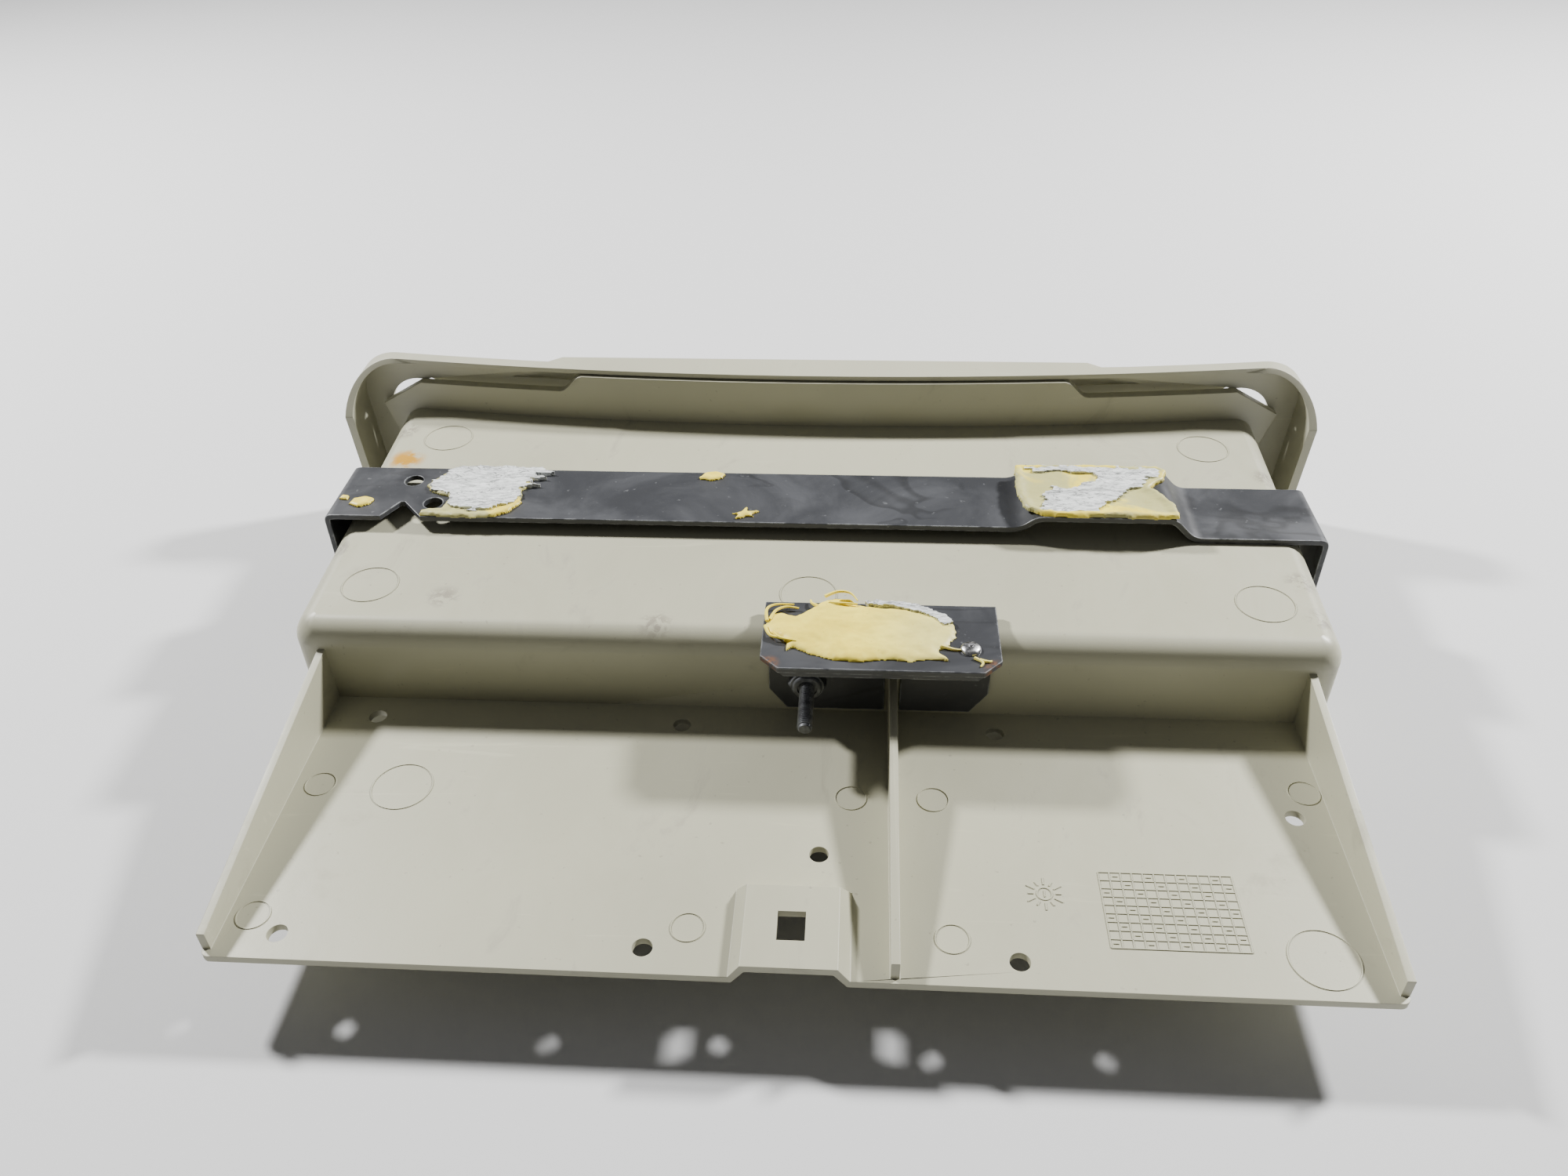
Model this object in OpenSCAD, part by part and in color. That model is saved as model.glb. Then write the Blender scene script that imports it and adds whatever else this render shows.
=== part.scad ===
// Cab storage tray: a moulded open-fronted bin with a drilled rear shelf, a separate curved
// bezel round its mouth, a folded steel hold-down strap and a bolted steel angle bracket.
// Millimetres. +X is right as seen from the shelf, +Y points out of the mouth, +Z is up.
// The origin is the middle of the footprint, on the surface that the tray rests on.

/* [Bin] */
// Width of the bin at its rear wall
bin_rear_w = 417; // [408:1:420]
// Width of the bin at its mouth
bin_mouth_w = 430; // [424:1:432]
// Height of the bin
bin_h = 64; // [60:1:66]
// Thickness of the moulded walls
wall_t = 3; // [2.5:0.5:3.5]
// Radius of the bin's outer corners and upper edges
bin_r = 10.5; // [8:0.5:12]

/* [Shelf] */
// Width of the rear shelf
shelf_w = 395; // [380:1:396]
// Depth of the rear shelf, from its free edge to the rear wall
shelf_d = 128; // [124:1:132]
// Height of the shelf's upper face
shelf_z = 27; // [25:1:28]
// Height of the end gussets at the rear wall
gusset_wall_h = 26; // [22:1:28]
// Height of the end gussets at the shelf's free edge
gusset_edge_h = 7.5; // [5:0.5:9]
// Diameter of the screw holes
hole_d = 7; // [5:0.5:8]
// Pitch of the screw holes across the shelf
hole_pitch_x = 125; // [123:1:126]
// Pitch of the screw holes along the shelf
hole_pitch_y = 106.5; // [105:0.5:108]

/* [Mouth and bezel] */
// Depth of the whole tray, from the shelf's free edge to the bezel's front
overall_d = 320; // [320:1:324]
// Height of the bezel
bezel_h = 90.5; // [90:0.5:94]
// Width of the bezel
bezel_w = 480; // [476:1:490]
// Radius of the bezel's curve as seen from above
mouth_curve_r = 1690; // [1600:10:1800]
// Depth of the bin at the middle of the mouth, from the shelf's free edge
mouth_y = 293; // [290:1:294]

/* [Steel] */
// Width of the flat bar that the strap and the bracket are made of
bar_w = 40; // [36:1:42]
// Thickness of the flat bar
bar_t = 2.5; // [2:0.5:3]
// Diameter of the clamp bolt's thread
bolt_d = 6; // [5:1:6]
// Length of thread that stands out of the angle bracket
bolt_out = 31; // [24:1:36]

/* [Hidden] */
$fn = 48;
eps = 0.01;
curve_fn = 720;
hull_fn = 24;

// The mouth's curve: a vertical cylinder in front of the tray, concave towards the user.
curve_y = mouth_y + mouth_curve_r;
flange_t = 5;
bezel_t = 4;
curve_z = [-20, 120];
slab_y = [280, 330];

// The bin tapers a little towards its rear wall.
bin_mouth_y = 303;
bin_end_y = 312;
bin_slope = (bin_mouth_w - bin_rear_w) / 2 / (bin_mouth_y - shelf_d);
function bin_half(y) = bin_rear_w / 2 + (y - shelf_d) * bin_slope;

// The mouth flange: two low shoulders and a taller middle.
flange_low_z = bin_h + 15;
flange_mid_z = bin_h + 23.5;
flange_mid_half = 118;
flange_step = 12;
flange_foot_half = 218;
flange_side_half = 220;
flange_ear = [225.5, bin_h + 1.5];
flange_flare = 16;
flange_chamfer_x = 203;
step_sides = 6;

// The bezel's outline and opening.
bezel_corner_r = 24;
bezel_lean = 4;
lip_t = 2.4;
lip_back = 3;
side_t = 4;
side_back_y = 291;
side_reach = 30;
side_top_z = 66.5;
hood_top_half = 200;
hood_top_y = 309;
bezel_end_y = 320;
opening_half = 215;
opening_z = [8, flange_low_z - 4];
opening_r = 14;
relief = [205, bin_h - 3.5, 18];
// Above each low shoulder of the flange the bezel is slotted into the ledge's hollow, and its
// rear face is recessed on from there towards the corner.
shoulder_slot = [[flange_mid_half, flange_low_z + 2.5], [flange_mid_half, flange_mid_z],
    [131, flange_mid_z], [156, flange_low_z + 2.5]];
shoulder_recess = [[flange_mid_half, opening_z[1] - 1], [flange_mid_half, flange_mid_z],
    [127, flange_mid_z], [150, flange_low_z + 7], [180, flange_low_z + 3], [200, flange_low_z],
    [200, opening_z[1] - 1]];
recess_d = 3;
ledge_half = 130;
ledge_ramp = 34;
ledge_drop = 11;
ledge_front_y = 312.5;
ledge_skirt = 15;
ledge_t = 3;

// The shelf's screw holes and clip pad.
hole_x0 = -49.5;
hole_y0 = 10.25;
odd_holes = [[8, 52.5], [181.5, 77]];
shelf_corner_r = 3;
middle_gusset_x = 34.5;
middle_gusset_y = 2;
pad_h = 6;
pad_half = [22, 16];
pad_d = [37, 33.5];
clip_hole = [9.5, 11.5];
clip_hole_y = 16.7;

// The hold-down strap, as the outer face of its folded bar.
strap_x = [-216.5, 219.5];
strap_foot_z = 8;
strap_z = bin_h + 6.5;
strap_right_z = bin_h + bar_t;
strap_hump_z = bin_h + 12;
strap_y = 198;
strap_r = 4;
bend_steps = 5;
strap_outer = [[strap_x[0], strap_foot_z], [strap_x[0], strap_z], [89, strap_z],
    [95, strap_hump_z], [154, strap_hump_z], [163, strap_right_z], [strap_x[1], strap_right_z],
    [strap_x[1], strap_foot_z]];
strap_holes = [[-184, 227], [-170, 209]];
strap_hole_d = 8.4;
hole_cut_h = 20;
notch_x = [-191, -185, -183, -173];
notch_d = 11.5;
rivet_y = strap_y + bar_w / 2;
rivet_z = 20;
rivet_r = 1.9;
rivet_head_r = 4;
rivet_grip_slack = 0.6;
rivet_fit = 0.05;

// The bracket, seen from above and from the shelf's side.
bracket_x = [-16.5, 74.5];
bracket_y = 105;
bracket_z = bin_h + 2 * bar_t;
leg_x = [-14.5, 72.5];
leg_foot_z = 30;
leg_chamfer = [7, 10];
leg_face_y = shelf_d - bar_t;
slot_x = [31.5, 37.5];
slot_top_z = 58;
corner_chamfer = 7;
bracket_rivet = [63, 118.3];
bracket_rivet_r = 2;
bracket_rivet_head_r = 4;

// The clamp bolt and what is on it.
bolt_x = 1;
bolt_z = 47.5;
bolt_tip_y = leg_face_y - bolt_out;
clearance = 0.1;
washer_t = 1.2;
washer_d = 14;
inner_washer_t = 1.6;
inner_washer_d = 12;
bolt_fit = 0.3;
thread_fit = 0.05;
shank_d = 5;
nut_af = 13;
nut_h = 5;
collar_h = 1.8;
collar_d = 11.5;
collar_bore_d = 7.8;
head_af = 10;
head_h = 4;

// The adhesive left on the steel.
adhesive_t = 2;
backing_t = 0.8;

// Moves a tray drawn from its shelf's free edge to one that is centred on the origin.
module place() translate([0, -overall_d / 2, 0]) children();

// Extrudes an outline drawn in X and Z along Y.
module along_y(y0, y1) translate([0, y1, 0]) rotate([90, 0, 0]) linear_extrude(y1 - y0) children();

// Extrudes an outline drawn in Y and Z along X.
module along_x(x0, x1) translate([x0, 0, 0]) rotate([90, 0, 90]) linear_extrude(x1 - x0) children();

// A round bar along Y or along X.
module bar_y(x, z, y0, y1, r) translate([x, y1, z]) rotate([90, 0, 0]) cylinder(r = r, h = y1 - y0);
module bar_x(y, z, x0, x1, r) translate([x0, y, z]) rotate([0, 90, 0]) cylinder(r = r, h = x1 - x0);

// Everything in front of the mouth's curve, set forward by depth.
module in_front(depth) translate([0, curve_y, curve_z[0]])
    cylinder(r = mouth_curve_r - depth, h = curve_z[1] - curve_z[0], $fn = curve_fn);

// A layer that follows the mouth's curve, cut to an outline in X and Z.
module curved_layer(d0, d1) difference() {
    intersection() {
        along_y(slab_y[0], slab_y[1]) children();
        in_front(d0);
    }
    in_front(d1);
}

// A rectangle with round corners, drawn from its lower left corner.
module round_rect(size, r) {
    translate([r, 0]) square([size[0] - 2 * r, size[1]]);
    translate([0, r]) square([size[0], size[1] - 2 * r]);
    for (x = [r, size[0] - r], y = [r, size[1] - r])
        translate([x, y]) circle(r);
}

// The bin's outer form for inset 0, and its cavity for inset wall_t.
module bin_form(inset) {
    r = bin_r - inset;
    z0 = inset;
    z1 = bin_h - inset;
    hull() for (y = [shelf_d + inset + r, bin_end_y], s = [-1, 1])
        translate([s * (bin_half(y) - inset - r), y, 0]) {
            translate([0, 0, z1 - r]) sphere(r, $fn = hull_fn);
            translate([0, 0, z0]) cylinder(r = r, h = z1 - r - z0, $fn = hull_fn);
        }
}

// Half of the flange's outline runs up its side, over its ear and along to the middle.
function step_points(s) = [for (i = [0 : step_sides])
    [s * (flange_mid_half + flange_step * (1 - i / step_sides)),
        flange_low_z + (flange_mid_z - flange_low_z) * (1 - cos(180 * i / step_sides)) / 2]];
function flange_side(s) = concat(
    [[s * flange_foot_half, 0], [s * flange_side_half, flange_ear[1] - flange_flare],
        [s * flange_ear[0], flange_ear[1]], [s * flange_chamfer_x, flange_low_z]],
    step_points(s));
function reversed(list) = [for (i = [len(list) - 1 : -1 : 0]) list[i]];
module flange_outline() polygon(concat(flange_side(1), reversed(flange_side(-1))));

// The shelf, its three gussets and the raised clip pad.
module shelf_plate() translate([-shelf_w / 2, 0, shelf_z - wall_t]) linear_extrude(wall_t) {
    translate([0, shelf_corner_r]) square([shelf_w, shelf_d - shelf_corner_r]);
    translate([shelf_corner_r, 0]) square([shelf_w - 2 * shelf_corner_r, shelf_corner_r + 1]);
    for (x = [shelf_corner_r, shelf_w - shelf_corner_r])
        translate([x, shelf_corner_r]) circle(shelf_corner_r);
}
module gusset(x, y0) along_x(x - wall_t / 2, x + wall_t / 2)
    polygon([[y0, shelf_z - 1], [y0, shelf_z + gusset_edge_h],
        [shelf_d, shelf_z + gusset_wall_h], [shelf_d, shelf_z - 1]]);
module pad_form(drop) hull() {
    translate([-pad_half[0] + drop, -1, shelf_z - wall_t - 1])
        cube([2 * (pad_half[0] - drop), pad_d[0] - drop + 1, 1]);
    translate([-pad_half[1] + drop / 2, -1, shelf_z + pad_h - drop - 0.1])
        cube([2 * pad_half[1] - drop, pad_d[1] - drop + 1, 0.1]);
}
module clip_pad() intersection() {
    pad_form(0);
    translate([-pad_half[0], 0, shelf_z - wall_t]) cube([2 * pad_half[0], pad_d[0], 20]);
}
module screw_holes() {
    for (i = [-1 : 1], j = [0, 1])
        translate([hole_x0 + i * hole_pitch_x, hole_y0 + j * hole_pitch_y, shelf_z - wall_t - 1])
            cylinder(d = hole_d, h = wall_t + 2);
    for (p = odd_holes)
        translate([p[0], p[1], shelf_z - wall_t - 1]) cylinder(d = hole_d, h = wall_t + 2);
}

// The tray is one moulding. It is drawn as its bin, its rear shelf and its mouth flange, which
// meet face to face.
module bin_shell() color("#bdb8ac") place() difference() {
    bin_form(0);
    in_front(flange_t);
    bin_form(wall_t);
    bar_y(bolt_x, bolt_z, shelf_d - 1, shelf_d + wall_t + 1, bolt_d / 2 + bolt_fit);
    for (s = [-1, 1])
        bar_x(rivet_y, rivet_z, s * bin_half(rivet_y) - 8, s * bin_half(rivet_y) + 8,
            rivet_r + rivet_fit);
}

module rear_shelf() color("#bdb8ac") place() difference() {
    union() {
        shelf_plate();
        gusset(-(shelf_w - wall_t) / 2, shelf_corner_r);
        gusset((shelf_w - wall_t) / 2, shelf_corner_r);
        gusset(middle_gusset_x, middle_gusset_y);
        clip_pad();
    }
    pad_form(wall_t);
    translate([-clip_hole[0] / 2, clip_hole_y - clip_hole[1] / 2, shelf_z - wall_t - 1])
        cube([clip_hole[0], clip_hole[1], hole_cut_h]);
    screw_holes();
}

module mouth_flange() color("#bdb8ac") place() difference() {
    curved_layer(0, flange_t) flange_outline();
    bin_form(0);
}

// The bezel's outline, drawn inward by inset, and the inside of its hood, which is thinner along
// the top than at the sides.
module bezel_outline(inset = 0) {
    half = bezel_w / 2 - inset;
    r = bezel_corner_r - inset;
    zc = bezel_h - bezel_corner_r;
    polygon([[-half + bezel_lean, inset], [half - bezel_lean, inset], [half, zc], [-half, zc]]);
    translate([-half + r, zc - eps]) square([2 * (half - r), r + eps]);
    for (s = [-1, 1]) translate([s * (half - r), zc]) circle(r);
}
module hood_section() difference() {
    bezel_outline();
    translate([0, side_t - lip_t]) bezel_outline(side_t);
}
module mouth_opening() {
    translate([-opening_half, opening_z[0]])
        round_rect([2 * opening_half, opening_z[1] - opening_z[0]], opening_r);
    for (s = [-1, 1]) translate([s * relief[0], relief[1]]) circle(relief[2]);
    for (s = [-1, 1]) polygon([for (p = shoulder_slot) [s * p[0], p[1]]]);
}
module ledge_outline(inset = 0) polygon([
    [-ledge_half - ledge_ramp + inset, bezel_h - ledge_skirt], [-ledge_half - ledge_ramp + inset,
        bezel_h - ledge_drop - inset], [-ledge_half + inset / 2, bezel_h - inset],
    [ledge_half - inset / 2, bezel_h - inset], [ledge_half + ledge_ramp - inset,
        bezel_h - ledge_drop - inset], [ledge_half + ledge_ramp - inset, bezel_h - ledge_skirt]]);

module front_bezel() color("#b3aea1") place() {
    difference() {
        curved_layer(flange_t, flange_t + bezel_t) bezel_outline();
        along_y(slab_y[0], slab_y[1]) mouth_opening();
        for (s = [-1, 1]) curved_layer(flange_t - 1, flange_t + recess_d)
            polygon([for (p = shoulder_recess) [s * p[0], p[1]]]);
    }
    // The lip stands back over the flange, all along the top.
    curved_layer(flange_t - lip_back, flange_t + eps) intersection() {
        hood_section();
        translate([-bezel_w / 2, side_top_z]) square([bezel_w, bezel_h - side_top_z]);
    }
    // The hood's sides reach further back, and slope forward to the lip round the corners.
    difference() {
        intersection() {
            along_y(side_back_y, bezel_end_y) hood_section();
            in_front(flange_t - side_reach);
        }
        in_front(flange_t + eps);
        translate([-flange_side_half, slab_y[0], -1])
            cube([2 * flange_side_half, slab_y[1] - slab_y[0], side_top_z]);
        translate([-hood_top_half, slab_y[0], 0])
            cube([2 * hood_top_half, slab_y[1] - slab_y[0], bezel_h + 1]);
        along_x(-bezel_w / 2 - 1, bezel_w / 2 + 1)
            polygon([[side_back_y - 1, side_top_z], [side_back_y, side_top_z],
                [hood_top_y, bezel_h + eps], [hood_top_y, bezel_h + 1],
                [side_back_y - 1, bezel_h + 1]]);
    }
    // The finger ledge stands forward at the middle of the top.
    difference() {
        along_y(slab_y[0], ledge_front_y) ledge_outline();
        along_y(slab_y[0] - 1, ledge_front_y - ledge_t) ledge_outline(lip_t);
        curved_layer(slab_y[0] - slab_y[1], flange_t + bezel_t - eps)
            translate([-bezel_w / 2, 0]) square([bezel_w, bezel_h + 1]);
    }
}

// Rounds every inner corner of a path with a curve that starts size before it.
function unit(v) = v / norm(v);
function bend(a, b, c, size) = [for (i = [0 : bend_steps])
    let (t = i / bend_steps, p = b + size * unit(a - b), q = b + size * unit(c - b))
    (1 - t) * (1 - t) * p + 2 * t * (1 - t) * b + t * t * q];
function rounded_path(p, size) = concat([p[0]],
    [for (i = [1 : len(p) - 2]) each bend(p[i - 1], p[i], p[i + 1], size)], [p[len(p) - 1]]);

// The inner face of a folded bar, a bar's thickness inside its outer face.
function inner_normal(a, b) = let (d = unit(b - a)) [d[1], -d[0]];
function inner_point(p, i, t) =
    i == 0 ? p[0] + t * inner_normal(p[0], p[1]) :
    i == len(p) - 1 ? p[i] + t * inner_normal(p[i - 1], p[i]) :
    let (m = unit(inner_normal(p[i - 1], p[i]) + inner_normal(p[i], p[i + 1])))
    p[i] + t / (m * inner_normal(p[i], p[i + 1])) * m;
function folded_bar(p, t) =
    concat(p, [for (i = [len(p) - 1 : -1 : 0]) inner_point(p, i, t)]);

module hold_down_strap() color("#2b2d31") place() difference() {
    along_y(strap_y, strap_y + bar_w) polygon(folded_bar(rounded_path(strap_outer, strap_r), bar_t));
    translate([0, 0, bin_h]) linear_extrude(hole_cut_h)
        polygon([[notch_x[0], strap_y - 1], [notch_x[0], strap_y], [notch_x[1], strap_y + notch_d],
            [notch_x[2], strap_y + notch_d], [notch_x[3], strap_y], [notch_x[3], strap_y - 1]]);
    for (p = strap_holes)
        translate([p[0], p[1], bin_h]) cylinder(d = strap_hole_d, h = hole_cut_h);
    bar_x(rivet_y, rivet_z, strap_x[0] - 1, strap_x[0] + bar_t + 1, rivet_r + rivet_fit);
    bar_x(rivet_y, rivet_z, strap_x[1] - bar_t - 1, strap_x[1] + 1, rivet_r + rivet_fit);
}

// A blind rivet along Z: a domed head above z = 0, a shank and a set tail below it.
module blind_rivet(r, grip, head_r) {
    intersection() {
        translate([0, 0, -head_r * 0.75]) sphere(head_r * 1.25);
        cylinder(r = head_r, h = head_r);
    }
    translate([0, 0, -grip - 3]) cylinder(r = r, h = grip + 3 + eps);
    translate([0, 0, -grip - 3]) cylinder(r = r * 1.5, h = 3);
}

// The spacer holds the strap's leg off the bin's wall, and the rivet goes through both.
spacer_r = 6;
bin_side = bin_half(rivet_y) + spacer_r * bin_slope;
module strap_rivet(s) {
    face = s < 0 ? -strap_x[0] : strap_x[1];
    place() translate([s * face, rivet_y, rivet_z]) rotate([0, s * 90, 0])
        blind_rivet(rivet_r, face - bin_side + wall_t + rivet_grip_slack, rivet_head_r);
}
module strap_spacer(s) {
    leg = (s < 0 ? -strap_x[0] : strap_x[1]) - bar_t;
    place() translate([s < 0 ? -leg : bin_side, rivet_y, rivet_z]) rotate([0, 90, 0])
        difference() {
            cylinder(r = spacer_r, h = leg - bin_side);
            translate([0, 0, -1]) cylinder(r = rivet_r + rivet_fit, h = leg - bin_side + 2);
        }
}
module strap_rivet_left() color("#8f9296") strap_rivet(-1);
module strap_rivet_right() color("#8f9296") strap_rivet(1);
module strap_spacer_left() color("#232427") strap_spacer(-1);
module strap_spacer_right() color("#232427") strap_spacer(1);

// The angle bracket: a slotted leg on the rear wall and a flange under the cover plate.
module angle_bracket() color("#303238") place() difference() {
    union() {
        along_y(leg_face_y, shelf_d) polygon([[leg_x[0], bin_h + bar_t], [leg_x[0],
            leg_foot_z + leg_chamfer[1]], [leg_x[0] + leg_chamfer[0], leg_foot_z],
            [leg_x[1] - leg_chamfer[0], leg_foot_z], [leg_x[1], leg_foot_z + leg_chamfer[1]],
            [leg_x[1], bin_h + bar_t]]);
        translate([0, 0, bin_h]) linear_extrude(bar_t)
            polygon([[leg_x[0], shelf_d], [leg_x[0], bracket_y + corner_chamfer + 1],
                [leg_x[0] + corner_chamfer, bracket_y + 1], [leg_x[1] - corner_chamfer, bracket_y + 1],
                [leg_x[1], bracket_y + corner_chamfer + 1], [leg_x[1], shelf_d]]);
    }
    along_y(leg_face_y - 1, shelf_d + 1)
        translate([slot_x[0], 0]) square([slot_x[1] - slot_x[0], slot_top_z]);
    bar_y(bolt_x, bolt_z, leg_face_y - 1, shelf_d + 1, bolt_d / 2 + bolt_fit);
    translate([bracket_rivet[0], bracket_rivet[1], bin_h - 1])
        cylinder(r = bracket_rivet_r + rivet_fit, h = bar_t + 2);
}

module cover_plate() color("#34363c") place() difference() {
    translate([0, 0, bin_h + bar_t]) linear_extrude(bar_t)
        polygon([[bracket_x[0], bracket_y + bar_w], [bracket_x[0], bracket_y + corner_chamfer],
            [bracket_x[0] + corner_chamfer, bracket_y], [bracket_x[1] - corner_chamfer, bracket_y],
            [bracket_x[1], bracket_y + corner_chamfer], [bracket_x[1], bracket_y + bar_w]]);
    translate([bracket_rivet[0], bracket_rivet[1], bin_h])
        cylinder(r = bracket_rivet_r + rivet_fit, h = hole_cut_h);
}

module bracket_rivet() color("#a9abad") place()
    translate([bracket_rivet[0], bracket_rivet[1], bracket_z])
        blind_rivet(bracket_rivet_r, 2 * bar_t, bracket_rivet_head_r);

// A hexagonal prism along Y with two flats upright.
module hex_y(x, z, y0, y1, af) translate([x, y1, z]) rotate([90, 0, 0]) rotate([0, 0, 30])
    cylinder(d = af / cos(30), h = y1 - y0, $fn = 6);

module clamp_bolt() color("#27282b") place() {
    seat_y = shelf_d + wall_t + inner_washer_t;
    thread_end_y = nut_y - collar_h;
    bar_y(bolt_x, bolt_z, bolt_tip_y, thread_end_y, bolt_d / 2);
    bar_y(bolt_x, bolt_z, thread_end_y - eps, seat_y + eps, shank_d / 2);
    hex_y(bolt_x, bolt_z, seat_y, seat_y + head_h, head_af);
}
module inner_washer() color("#8f9296") place() difference() {
    bar_y(bolt_x, bolt_z, shelf_d + wall_t, shelf_d + wall_t + inner_washer_t,
        inner_washer_d / 2);
    bar_y(bolt_x, bolt_z, shelf_d, shelf_d + wall_t + inner_washer_t + 1,
        bolt_d / 2 + bolt_fit);
}
washer_y = leg_face_y - clearance - washer_t;
nut_y = washer_y - clearance - nut_h;
module outer_washer() color("#3a3c40") place() difference() {
    bar_y(bolt_x, bolt_z, washer_y, washer_y + washer_t, washer_d / 2);
    bar_y(bolt_x, bolt_z, washer_y - 1, washer_y + washer_t + 1, bolt_d / 2 + bolt_fit);
}
module lock_nut() color("#303236") place() difference() {
    union() {
        hex_y(bolt_x, bolt_z, nut_y, nut_y + nut_h, nut_af);
        bar_y(bolt_x, bolt_z, nut_y - collar_h, nut_y + eps, collar_d / 2);
    }
    bar_y(bolt_x, bolt_z, nut_y - collar_h - 1, nut_y + nut_h + 1, bolt_d / 2 + thread_fit);
    bar_y(bolt_x, bolt_z, nut_y - collar_h - 1, nut_y - collar_h + 1, collar_bore_d / 2);
}

// A flat pad of adhesive: round patches joined into one outline.
module pad_of(rounds, z, t) place() translate([0, 0, z]) linear_extrude(t)
    hull() for (c = rounds) translate([c[0], c[1]]) circle(c[2], $fn = hull_fn);

module bracket_adhesive() color("#e3d9a0")
    pad_of([[-4, 128, 10], [14, 131, 12], [40, 127, 14]], bracket_z, adhesive_t);
module bracket_backing() color("#dadbd9")
    pad_of([[22, 141, 2], [38, 139, 2], [50, 133, 2]], bracket_z + adhesive_t, backing_t);
module left_adhesive() color("#d8cf98")
    pad_of([[-161, 203, 4], [-161, 233, 4], [-128, 203, 4], [-124, 232, 4]], strap_z, adhesive_t);
module left_backing() color("#e2e3e0")
    pad_of([[-158, 212, 4], [-159, 232, 4], [-134, 208, 4], [-128, 231, 4]],
        strap_z + adhesive_t, backing_t);
module right_adhesive() color("#d9cc8a")
    pad_of([[98, 206, 3], [98, 233, 3], [150, 204, 3], [150, 231, 3]], strap_hump_z, adhesive_t);
module right_backing() color("#e0e1dd")
    pad_of([[110, 212, 3], [112, 232, 3], [144, 210, 3], [144, 231, 3]],
        strap_hump_z + adhesive_t, backing_t);

// Small dabs of adhesive, each a shallow dome on the strap.
dabs = [[-47, 234, 4.5], [-30, 203, 3.5], [-203, 212, 4.5]];
module strap_adhesive_dabs() color("#e5d79a") place() for (d = dabs)
    translate([d[0], d[1], strap_z]) intersection() {
        translate([0, 0, -d[2] * 0.8]) sphere(d[2] * 1.28);
        cylinder(r = d[2], h = d[2]);
    }

bin_shell();
rear_shelf();
mouth_flange();
front_bezel();
hold_down_strap();
strap_rivet_left();
strap_rivet_right();
strap_spacer_left();
strap_spacer_right();
angle_bracket();
cover_plate();
bracket_rivet();
clamp_bolt();
inner_washer();
outer_washer();
lock_nut();
bracket_adhesive();
bracket_backing();
left_adhesive();
left_backing();
right_adhesive();
right_backing();
strap_adhesive_dabs();
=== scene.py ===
"""Looks of a cab storage tray: its mouldings, steel, fasteners, old adhesive and a stage."""

import math

import bmesh
import bpy
from bpy.props import FloatProperty, FloatVectorProperty, IntProperty, PointerProperty
from mathutils import Matrix, Vector, noise


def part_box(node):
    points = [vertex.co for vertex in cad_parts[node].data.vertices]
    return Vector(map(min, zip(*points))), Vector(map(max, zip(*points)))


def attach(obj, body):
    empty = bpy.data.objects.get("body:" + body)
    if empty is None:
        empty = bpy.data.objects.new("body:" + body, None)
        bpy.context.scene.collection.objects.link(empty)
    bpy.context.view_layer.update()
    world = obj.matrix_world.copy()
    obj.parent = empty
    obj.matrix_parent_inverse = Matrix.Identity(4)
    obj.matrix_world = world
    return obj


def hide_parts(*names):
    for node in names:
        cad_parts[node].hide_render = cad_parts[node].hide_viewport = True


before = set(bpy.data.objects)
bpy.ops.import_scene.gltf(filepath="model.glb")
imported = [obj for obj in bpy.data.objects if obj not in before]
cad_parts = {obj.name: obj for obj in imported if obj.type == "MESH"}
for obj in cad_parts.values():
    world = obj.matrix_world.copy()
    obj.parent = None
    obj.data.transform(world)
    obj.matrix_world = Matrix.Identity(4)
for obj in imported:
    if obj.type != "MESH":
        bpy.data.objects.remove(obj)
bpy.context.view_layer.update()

bl_info = {
    "name": "Cab storage tray",
    "version": (1, 0, 0),
    "blender": (4, 5, 0),
    "location": "View3D > Sidebar > Tray",
    "description": "Builds the looks of a moulded cab storage tray around its packed model",
    "category": "Object",
}

MM = 0.001

# Places that every piece is set out from: X from the tray's middle, Y from the shelf's free edge.
SHELF_THICKNESS = 3 * MM
SHELF_EDGE_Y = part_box("rear_shelf")[0].y
SHELF_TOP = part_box("rear_shelf")[0].z + SHELF_THICKNESS
BIN_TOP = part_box("bin_shell")[1].z
WALL_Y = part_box("bin_shell")[0].y
HUMP_RISE = 5.5 * MM
STRAP_HUMP_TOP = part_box("hold_down_strap")[1].z
STRAP_TOP = STRAP_HUMP_TOP - HUMP_RISE
PLATE_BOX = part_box("cover_plate")
PLATE_TOP = PLATE_BOX[1].z
BOLT_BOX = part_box("clamp_bolt")
BOLT_AXIS = ((BOLT_BOX[0] + BOLT_BOX[1]) / 2).xz
TRAY_BODY = "tray"
FLAT_ANGLE = math.radians(0.05)
EDGE_ANGLE = math.radians(35)
SMOOTH_ANGLE = math.radians(32)
TOUCHING = 0.02 * MM
GLUE_SINK = 0.05 * MM


def spot(x, y, z):
    """A point given in millimetres across and from the shelf's free edge, at height z in metres."""
    return Vector((x * MM, SHELF_EDGE_Y + y * MM, z))


# ---------------------------------------------------------------------------------------------
# Sizes and colours that a user would change


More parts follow.
